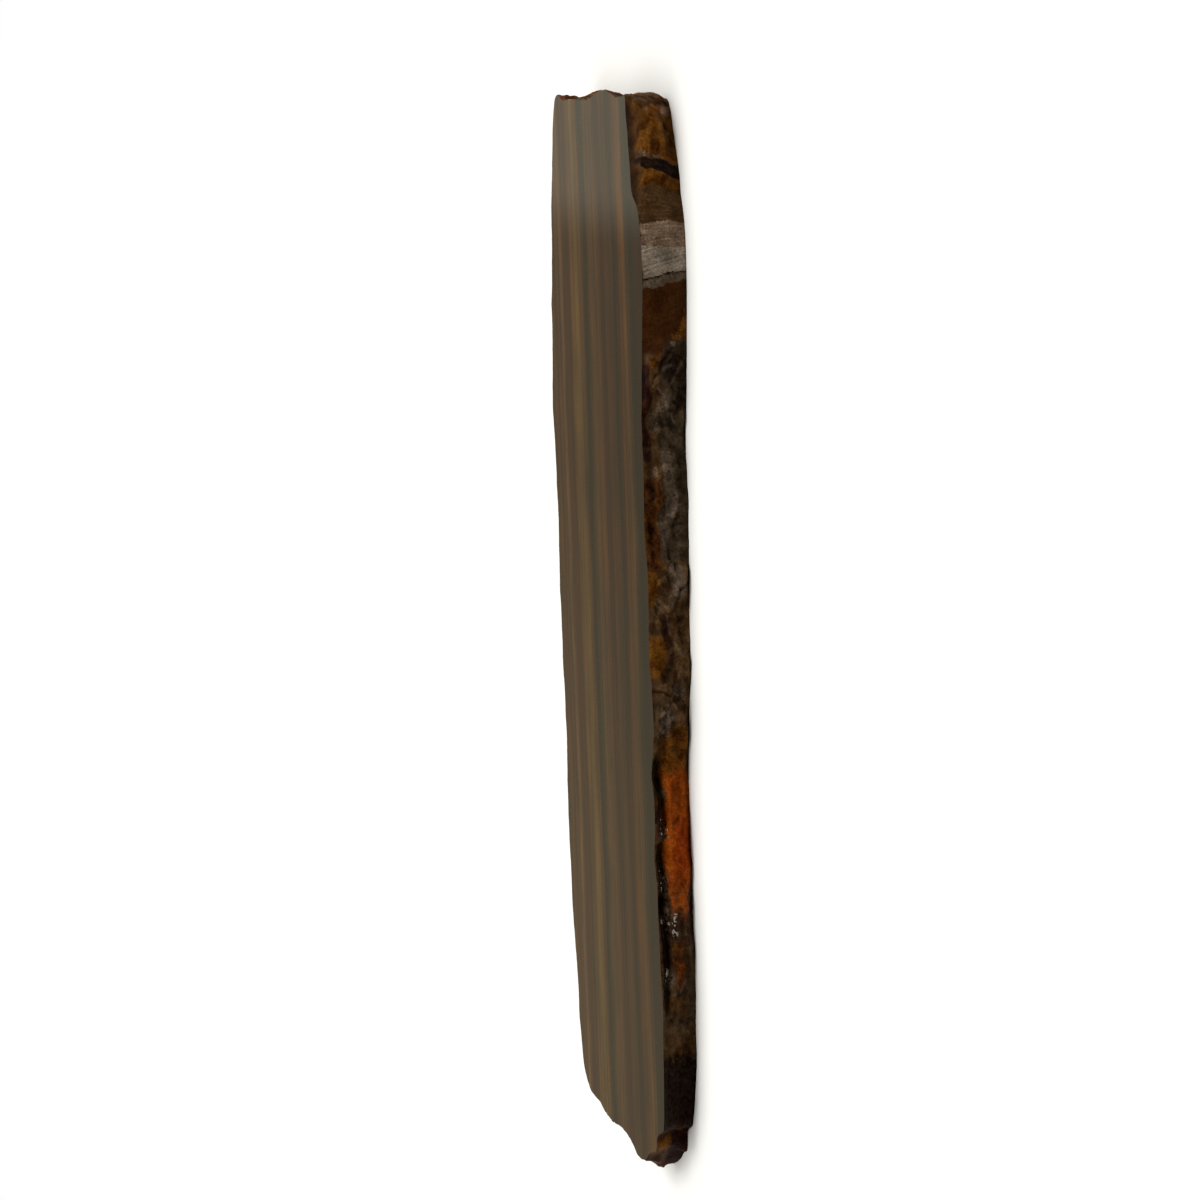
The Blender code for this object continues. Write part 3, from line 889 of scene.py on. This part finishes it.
# %% [markdown]
# ## The polished face
#
# Polished quartz is a clear, mirror-smooth skin over silky fibres. Two layers of the Principled
# shader give that. The base is the silk: the fibres throw light back like satin thread, brightest
# across their length, which is a metallic lobe with anisotropy. The coat is the polish: a clear
# layer with the refractive index of quartz, 1.54. Seen from above it hardly shows; seen at a low
# angle it turns into a mirror and veils the bands, as glass does.
#
# A plain glossy brown would have the mirror but not the silk, and would look like varnished wood.

# %% Material: polished quartz with silky fibres
face_finish, tree, shader = new_material("polished_tigers_eye_quartz")
stone_bands = add_node(tree, "ShaderNodeGroup", node_tree=bands)
place = stone_bands.node.outputs["Place"]
FACE_PATTERNS = {  # size of the clumps in mm
    "fibres": (0.5, 5.0, 5.0),  # real fibres are a hair wide; drawn this wide, they show
    "sheen": (17.0, 6.0, 8.0),
}
FIBRE_SHARE = 0.35  # how much the fibres count next to the broad sheen
GLOW = (0.47, 0.87, 0.82, 1.18)
SILK_ROUGHNESS = (*NOISE_REACH, 0.3, 0.4)
noises = {}
for name, size in FACE_PATTERNS.items():
    sized = add_node(tree, "ShaderNodeVectorMath", {0: place, 1: size}, operation="DIVIDE")
    noises[name] = add_node(tree, "ShaderNodeTexNoise", {"Vector": sized, "Scale": 1.0})
both = {0: noises["fibres"], 1: FIBRE_SHARE, 2: noises["sheen"]}
glow = add_node(tree, "ShaderNodeMath", both, operation="MULTIPLY_ADD")
glow = add_node(tree, "ShaderNodeMapRange", {"Value": glow, **dict(zip(LIMITS, GLOW))})
silk = add_node(tree, "ShaderNodeVectorMath", {0: stone_bands, "Scale": glow}, operation="SCALE")
limits = dict(zip(LIMITS, SILK_ROUGHNESS))
dull = add_node(tree, "ShaderNodeMapRange", {"Value": noises["sheen"], **limits})
along = add_node(tree, "ShaderNodeTangent", direction_type="UV_MAP", uv_map="along_bands")
tree.links.new(silk, shader.inputs["Base Color"])
tree.links.new(dull, shader.inputs["Roughness"])
tree.links.new(along, shader.inputs["Tangent"])
shader.inputs["Metallic"].default_value = 0.85  # the share of light the fibres throw straight back
shader.inputs["Specular Tint"].default_value = linear("#8a5a34")
shader.inputs["Anisotropic"].default_value = 0.7
shader.inputs["IOR"].default_value = QUARTZ_IOR
shader.inputs["Coat Weight"].default_value = 1.0
shader.inputs["Coat Roughness"].default_value = 0.02
shader.inputs["Coat IOR"].default_value = QUARTZ_IOR
print(face_finish.name, "has", len(tree.nodes), "nodes")

# %% [markdown]
# ## The sawn back
#
# A diamond blade leaves quartz flat but matt, so the bands look dusty and pale, crossed by faint
# arcs the blade cut. The arcs are circles round a point far outside the slab, a little over a
# millimetre apart, and only a few hundredths deep, so they are a bump and not geometry.

# %% Material: sawn quartz
BLADE_CENTRE = (-55.0, -310.0, 0.0)
ARC_SPACING = 1.3  # mm the rock moved forward at each turn of the blade that left a mark
ARC_SHAKE, ARC_SHARE = 1.2, 0.25  # mm that an arc strays, and its share of the bump
ARC_STRENGTH, ARC_DEPTH = 0.5, 0.04 * MM
DUST_COLOUR, DUST_COVER = "#7d7264", 0.42
SAWN_ROUGHNESS = (*NOISE_REACH, 0.5, 0.72)
BACK_PATTERNS = {"shake": (8.0, 8.0, 8.0), "grit": (0.4, 0.4, 0.4), "smears": (22.0, 14.0, 14.0)}
back_finish, tree, shader = new_material("sawn_tigers_eye_quartz")
stone_bands = add_node(tree, "ShaderNodeGroup", node_tree=bands)
place = stone_bands.node.outputs["Place"]
noises = {}
for name, size in BACK_PATTERNS.items():
    sized = add_node(tree, "ShaderNodeVectorMath", {0: place, 1: size}, operation="DIVIDE")
    noises[name] = add_node(tree, "ShaderNodeTexNoise", {"Vector": sized, "Scale": 1, "Detail": 3})
centre = {0: place, 1: BLADE_CENTRE}
reach = add_node(tree, "ShaderNodeVectorMath", centre, output="Value", operation="DISTANCE")
shaken = {0: noises["shake"], 1: ARC_SHAKE, 2: reach}
reach = add_node(tree, "ShaderNodeMath", shaken, operation="MULTIPLY_ADD")
turns = {0: reach, 1: 2 * math.pi / ARC_SPACING}
turns = add_node(tree, "ShaderNodeMath", turns, operation="MULTIPLY")
arcs = add_node(tree, "ShaderNodeMath", {0: turns}, operation="SINE")
marks = {0: arcs, 1: ARC_SHARE, 2: noises["grit"]}
marks = add_node(tree, "ShaderNodeMath", marks, operation="MULTIPLY_ADD")
cut = {"Height": marks, "Strength": ARC_STRENGTH, "Distance": ARC_DEPTH}
bump = add_node(tree, "ShaderNodeBump", cut)
dust = {0: DUST_COVER, 6: stone_bands, 7: linear(DUST_COLOUR)}
dusty = add_node(tree, "ShaderNodeMix", dust, output=2, data_type="RGBA")
limits = dict(zip(LIMITS, SAWN_ROUGHNESS))
dull = add_node(tree, "ShaderNodeMapRange", {"Value": noises["smears"], **limits})
tree.links.new(dusty, shader.inputs["Base Color"])
tree.links.new(dull, shader.inputs["Roughness"])
tree.links.new(bump, shader.inputs["Normal"])
shader.inputs["IOR"].default_value = QUARTZ_IOR
print(back_finish.name, "has", len(tree.nodes), "nodes")

# %% [markdown]
# ## The broken rim
#
# The rim starts as the dark inside of the stone and is then overlaid with one mineral after
# another. Each overlay reads its own attribute, roughened by fine noise so that its border breaks
# up into grains, and brings its own pale and dark colour. Iron crust is dry and matt; grey quartz
# keeps a waxy gloss.
#
# Real broken quartz is full of cracks that swallow light, so the rim's specular level is far below
# that of a polished face: with the full level it would look covered in grey dust.

# %% What each mineral looks like
MINERAL_LOOK = (  # name, pale, dark, how ragged and how soft its border is, roughness, clumps
    ("umber", "#45321f", "#2b1907", 1.1, 0.5, 0.5, "stain"),
    ("smooth", "#331b07", "#261002", 0.7, 0.5, 0.4, "cloud"),
    ("golden", "#5c3910", "#321600", 2.0, 0.5, 0.5, "stain"),
    ("layers", "#402d1a", "#301e0b", 1.2, 0.4, 0.45, "stain"),
    ("smoky", "#382d20", "#1a1208", 1.8, 0.6, 0.4, "stain"),
    ("ash", "#4e4136", "#31261b", 1.8, 0.6, 0.4, "stain"),
    ("grey", "#6a5848", "#4c3b2d", 1.4, 0.4, 0.38, "stain"),
    ("silver", "#766b5e", "#574d42", 0.5, 0.4, 0.34, "cloud"),
    ("bruised", "#40290f", "#250f02", 1.6, 0.5, 0.5, "stain"),
    # maroon is the stone's own dark red, and also paints part of the crevice's shade
    ("maroon", "#28120a", "#0c0201", 2.0, 0.5, 0.5, "clump"),
    ("ochre", "#40240a", "#160402", 2.0, 0.4, 0.65, "clump"),
    ("iron", "#71340a", "#5b2604", 1.8, 0.7, 0.8, "stain"),
    ("rust", "#6e2a08", "#5a2004", 1.8, 0.8, 0.8, "stain"),
    # black is the iron vein's own colour, and also painted shade at the tip and in the crevice
    ("black", "#20120a", "#030100", 2.6, 0.4, 0.4, "grain"),
)
# painted highlight along the thin ridges, and painted shade in the cracks
RIDGE_HIGHLIGHT_COLOUR, CRACK_SHADE_COLOUR = "#7d6e5f", "#0c0402"
BROKEN_TINT = (0.6, 0.47, 0.33)  # broken bands are darker and warmer than polished ones
RIM_PATTERNS = {  # size of the clumps in mm, detail
    "grit": ((0.4, 0.4, 0.4), 3.0),
    "grain": ((0.9, 0.9, 0.9), 4.0),
    "clump": ((1.7, 1.7, 1.3), 4.0),
    "stain": ((2.6, 2.6, 2.2), 5.0),
    "cloud": ((5.5, 5.5, 3.5), 3.0),
}
FIBRE_SIZE = (0.4, 9.0, 5.0)  # mm across and along a bundle of fibres; single fibres are finer
GLINT_SIZE = 0.42  # mm across one crystal
GLINT_COLOUR, GLINT_LEVEL, GLINT_ROUGHNESS = "#857a70", 0.64, 0.15
INSIDE_ROUGHNESS, NOISE_ROUGHNESS = 0.5, 0.62
CLUMP_REACH = (0.36, 0.64)
BORDER_LEVEL = 0.47
PATCH_GATE = 8.0  # nothing outside the patch, however ragged the noise
LINE_DETAIL, LINE_ROUGHNESS, LINE_CONTRAST = 3.0, 0.65, 1.9
SPECKLE = (*NOISE_REACH, 0.6, 1.4)
# painted shade in hollows and painted highlight on crests: crest height in mm to a brightness factor
PAINTED_CREST_LIGHT = (-0.3, 0.26, 0.56, 1.44)
RIDGE_HIGHLIGHT_COVER, CRACK_SHADE_COVER = 0.25, -0.8
RIM_BUMP, RIM_BUMP_DEPTH = 0.6, 0.2 * MM

# %% Material: broken quartz with iron
rim_finish, tree, shader = new_material("broken_iron_stained_quartz")
stone_bands = add_node(tree, "ShaderNodeGroup", node_tree=bands)
place = stone_bands.node.outputs["Place"]
noises = {}
for name, (size, detail) in RIM_PATTERNS.items():
    sized = add_node(tree, "ShaderNodeVectorMath", {0: place, 1: size}, operation="DIVIDE")
    inputs = {"Vector": sized, "Scale": 1.0, "Detail": detail, "Roughness": NOISE_ROUGHNESS}
    noises[name] = add_node(tree, "ShaderNodeTexNoise", inputs)
traits = {}
for name in TRAITS:
    traits[name] = add_node(tree, "ShaderNodeAttribute", output="Fac", attribute_name=name)

mixture = {0: noises["grit"], 1: noises["clump"]}
ragged_noise = add_node(tree, "ShaderNodeMath", mixture, operation="ADD")
patchy = {}
for name, pattern in noises.items():
    limits = {"Value": pattern, **dict(zip(LIMITS, CLUMP_REACH))}
    patchy[name] = add_node(tree, "ShaderNodeMapRange", limits)
inside = {0: stone_bands, 1: BROKEN_TINT}
colour = add_node(tree, "ShaderNodeVectorMath", inside, operation="MULTIPLY")
roughness = INSIDE_ROUGHNESS
for name, pale, dark, ragged, soft, dullness, clumps in MINERAL_LOOK:
    border = {0: ragged_noise, 1: ragged / 2, 2: traits[name]}
    border = add_node(tree, "ShaderNodeMath", border, operation="MULTIPLY_ADD")
    middle = BORDER_LEVEL + ragged / 2
    limits = {"Value": border, "From Min": middle - soft / 2, "From Max": middle + soft / 2}
    cover = add_node(tree, "ShaderNodeMapRange", limits, interpolation_type="SMOOTHSTEP")
    here = {0: traits[name], 1: PATCH_GATE}
    here = add_node(tree, "ShaderNodeMath", here, operation="MULTIPLY", use_clamp=True)
    cover = add_node(tree, "ShaderNodeMath", {0: cover, 1: here}, operation="MULTIPLY")
    own = {0: patchy[clumps], 6: linear(dark), 7: linear(pale)}
    own = add_node(tree, "ShaderNodeMix", own, output=2, data_type="RGBA")
    overlay = {0: cover, 6: colour, 7: own}
    colour = add_node(tree, "ShaderNodeMix", overlay, output=2, data_type="RGBA")
    roughness = add_node(tree, "ShaderNodeMix", {0: cover, 2: roughness, 3: dullness})
print(len(MINERAL_LOOK), "minerals laid over the inside of the stone")

# %% Fibre lines, painted crest highlights and hollow shade, and glints on the broken rim
across_layers = add_node(tree, "ShaderNodeCombineXYZ", {"X": traits["layer_place"]})
inward = {0: place, 1: (0.0, 1.0, 1.0), 2: across_layers}
fibre_place = add_node(tree, "ShaderNodeVectorMath", inward, operation="MULTIPLY_ADD")
sized = add_node(tree, "ShaderNodeVectorMath", {0: fibre_place, 1: FIBRE_SIZE}, operation="DIVIDE")
lines = {"Vector": sized, "Scale": 1.0, "Detail": LINE_DETAIL, "Roughness": LINE_ROUGHNESS}
lines = add_node(tree, "ShaderNodeTexNoise", lines)
centred = add_node(tree, "ShaderNodeMath", {0: lines, 1: 0.5}, operation="SUBTRACT")
contrast = {0: traits["fibrous"], 1: LINE_CONTRAST}
contrast = add_node(tree, "ShaderNodeMath", contrast, operation="MULTIPLY")
line_shade = {0: centred, 1: contrast, 2: 1.0}
line_shade = add_node(tree, "ShaderNodeMath", line_shade, operation="MULTIPLY_ADD")
limits = dict(zip(LIMITS, SPECKLE))
speckle = add_node(tree, "ShaderNodeMapRange", {"Value": noises["grit"], **limits})
limits = dict(zip(LIMITS, PAINTED_CREST_LIGHT))
painted_crest_light = add_node(tree, "ShaderNodeMapRange", {"Value": traits["crest"], **limits})
# the crest factor paints shade into hollows and a highlight onto crests
for shade in (line_shade, speckle, painted_crest_light):
    colour = add_node(tree, "ShaderNodeVectorMath", {0: colour, "Scale": shade}, operation="SCALE")
# paints a highlight along thin ridges and shade into cracks
for strength, code in ((RIDGE_HIGHLIGHT_COVER, RIDGE_HIGHLIGHT_COLOUR), (CRACK_SHADE_COVER, CRACK_SHADE_COLOUR)):
    painted_line_light = {0: traits["line"], 1: strength}
    painted_line_light = add_node(tree, "ShaderNodeMath", painted_line_light, operation="MULTIPLY", use_clamp=True)
    painted_line_light = {0: painted_line_light, 6: colour, 7: linear(code)}
    colour = add_node(tree, "ShaderNodeMix", painted_line_light, output=2, data_type="RGBA")

sized = {0: place, 1: (GLINT_SIZE, GLINT_SIZE, GLINT_SIZE)}
sized = add_node(tree, "ShaderNodeVectorMath", sized, operation="DIVIDE")
cells = add_node(tree, "ShaderNodeTexVoronoi", {"Vector": sized, "Scale": 1.0}, output="Color")
dice = add_node(tree, "ShaderNodeSeparateColor", {0: cells})
dice = add_node(tree, "ShaderNodeMath", {0: dice, 1: traits["crystal"]}, operation="MULTIPLY")
glint = add_node(tree, "ShaderNodeMath", {0: dice, 1: GLINT_LEVEL}, operation="GREATER_THAN")
flash = {0: glint, 6: colour, 7: linear(GLINT_COLOUR)}
colour = add_node(tree, "ShaderNodeMix", flash, output=2, data_type="RGBA")
roughness = add_node(tree, "ShaderNodeMix", {0: glint, 2: roughness, 3: GLINT_ROUGHNESS})
relief = {0: contrast, 1: lines, 2: noises["grit"]}
relief = add_node(tree, "ShaderNodeMath", relief, operation="MULTIPLY_ADD")
relief = {"Height": relief, "Strength": RIM_BUMP, "Distance": RIM_BUMP_DEPTH}
bump = add_node(tree, "ShaderNodeBump", relief)
tree.links.new(colour, shader.inputs["Base Color"])
tree.links.new(glint, shader.inputs["Metallic"])
tree.links.new(roughness, shader.inputs["Roughness"])
tree.links.new(bump, shader.inputs["Normal"])
shader.inputs["IOR"].default_value = QUARTZ_IOR
shader.inputs["Specular IOR Level"].default_value = 0.015
print(rim_finish.name, "has", len(tree.nodes), "nodes")

# %% Dress the stone and tie it to the solid
for finish in (rim_finish, face_finish, back_finish):  # in the order RIM, FACE, BACK
    stone.data.materials.append(finish)
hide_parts("slab")
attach(stone, "root")
print("materials:", [finish.name for finish in stone.data.materials])

# %% [markdown]
# ## Floor and light
#
# The stone lies on a wide sheet of pale paper. The light is a bright soft ceiling with dim walls:
# the ceiling lights everything evenly, and the dim walls are what the polished face mirrors when
# it is seen from low down. Bright walls would turn the face into a white sheet. A soft sun from the
# thick end rakes along the broken side, so that its ridges cast small shadows.

# %% A sheet of pale paper
FLOOR_RADIUS = 30.0  # metres, so that its edge lies out of sight
floor_mesh = bmesh.new()
bmesh.ops.create_circle(floor_mesh, cap_ends=True, segments=96, radius=FLOOR_RADIUS)
floor = bpy.data.objects.new("paper_floor", bpy.data.meshes.new("paper_floor"))
floor_mesh.to_mesh(floor.data)
floor_mesh.free()
bpy.context.scene.collection.objects.link(floor)
paper, tree, shader = new_material("matt_white_paper")
shader.inputs["Base Color"].default_value = linear("#f4f3f1")
shader.inputs["Roughness"].default_value = 0.9
shader.inputs["Specular IOR Level"].default_value = 0.2
floor.data.materials.append(paper)
print("floor radius", FLOOR_RADIUS, "m")

# %% The room as a world background
WALL, WINDOW_GLOW = (0.163, 0.153, 0.1, 1.0), (0.31, 0.3, 0.22, 1.0)
CEILING = (1.25, 1.24, 1.21, 1.0)
LOW_GLOW = (0.19, 0.27, 1.08, 0.8)  # the wall is brighter near the floor
END_GLOW = (-0.1, 0.05, 1.25, 1.0)  # and towards -X
WINDOW_SLANT, WINDOW_EDGE = 0.15, (0.17, 0.195)
WALL_TOP = (0.42, 0.62)
world = bpy.data.worlds.new("studio_room")
bpy.context.scene.world = world
world.use_nodes = True
tree = world.node_tree
direction = add_node(tree, "ShaderNodeTexCoord", output="Generated")
x = add_node(tree, "ShaderNodeSeparateXYZ", {0: direction}, output="X")
z = add_node(tree, "ShaderNodeSeparateXYZ", {0: direction}, output="Z")
low_glow = add_node(tree, "ShaderNodeMapRange", {"Value": z, **dict(zip(LIMITS, LOW_GLOW))})
end_glow = add_node(tree, "ShaderNodeMapRange", {"Value": x, **dict(zip(LIMITS, END_GLOW))})
wall = {0: WALL[:3], "Scale": low_glow}
wall = add_node(tree, "ShaderNodeVectorMath", wall, operation="SCALE")
wall = add_node(tree, "ShaderNodeVectorMath", {0: wall, "Scale": end_glow}, operation="SCALE")
slanted = {0: z, 1: WINDOW_SLANT, 2: x}
toward_window = add_node(tree, "ShaderNodeMath", slanted, operation="MULTIPLY_ADD")
limits = {"Value": toward_window, **dict(zip(LIMITS, WINDOW_EDGE))}
window = add_node(tree, "ShaderNodeMapRange", limits, interpolation_type="SMOOTHSTEP")
wall = {0: window, 6: wall, 7: WINDOW_GLOW}
wall = add_node(tree, "ShaderNodeMix", wall, output=2, data_type="RGBA")
limits = {"Value": z, **dict(zip(LIMITS, WALL_TOP))}
height = add_node(tree, "ShaderNodeMapRange", limits, interpolation_type="SMOOTHSTEP")
room = {0: height, 6: wall, 7: CEILING}
room = add_node(tree, "ShaderNodeMix", room, output=2, data_type="RGBA")
seen = add_node(tree, "ShaderNodeLightPath", output="Is Camera Ray")
paper_white = {0: seen, 6: room, 7: (1.0, 1.0, 1.0, 1.0)}
paper_white = add_node(tree, "ShaderNodeMix", paper_white, output=2, data_type="RGBA")
tree.links.new(paper_white, tree.nodes["Background"].inputs["Color"])
print("ceiling", CEILING[:3], "wall", WALL[:3])

# %% A soft sun that rakes along the broken side
SUN_STRENGTH, SUN_SPREAD = 1.1, math.radians(25)
SUN_DIRECTION = Vector((-0.6, 0.35, -0.75))
sun_data = bpy.data.lights.new("raking_light", "SUN")
sun_data.energy = SUN_STRENGTH
sun_data.angle = SUN_SPREAD
sun = bpy.data.objects.new("raking_light", sun_data)
sun.rotation_euler = SUN_DIRECTION.to_track_quat("-Z", "Y").to_euler()
bpy.context.scene.collection.objects.link(sun)
print("raking light", sun_data.energy, "W/m2")

# %% [markdown]
# ## Camera
#
# The camera stands half a metre away, looks along +Y and 13 degrees down, and is rolled a quarter
# turn, so that the slab stands upright in the picture while it lies flat on the paper.

# %% Camera
DISTANCE, ELEVATION, ROLL = 0.5, math.radians(13.3), math.radians(1.6)
FRAME_WIDTH = 0.24  # metres of the slab's own plane that the picture is wide
back = Vector((0.0, -math.cos(ELEVATION), math.sin(ELEVATION)))
sideways = Vector((1.0, 0.0, 0.0)).cross(back)
up = Vector((1.0, 0.0, 0.0)) * math.cos(ROLL) + sideways * math.sin(ROLL)
right = up.cross(back)
target = Vector((slide.x * MM, slide.y * MM, THICKNESS * MM))
camera_data = bpy.data.cameras.new("camera")
camera_data.sensor_width = 36.0
camera_data.lens = camera_data.sensor_width * DISTANCE / FRAME_WIDTH
camera_data.clip_start = 0.01
camera = bpy.data.objects.new("camera", camera_data)
turn = Matrix((right, up, back)).transposed().to_4x4()
camera.matrix_world = Matrix.Translation(target + back * DISTANCE) @ turn
bpy.context.scene.collection.objects.link(camera)
bpy.context.scene.camera = camera
bpy.context.scene.view_settings.view_transform = "Standard"
print("lens", round(camera_data.lens, 1), "mm")
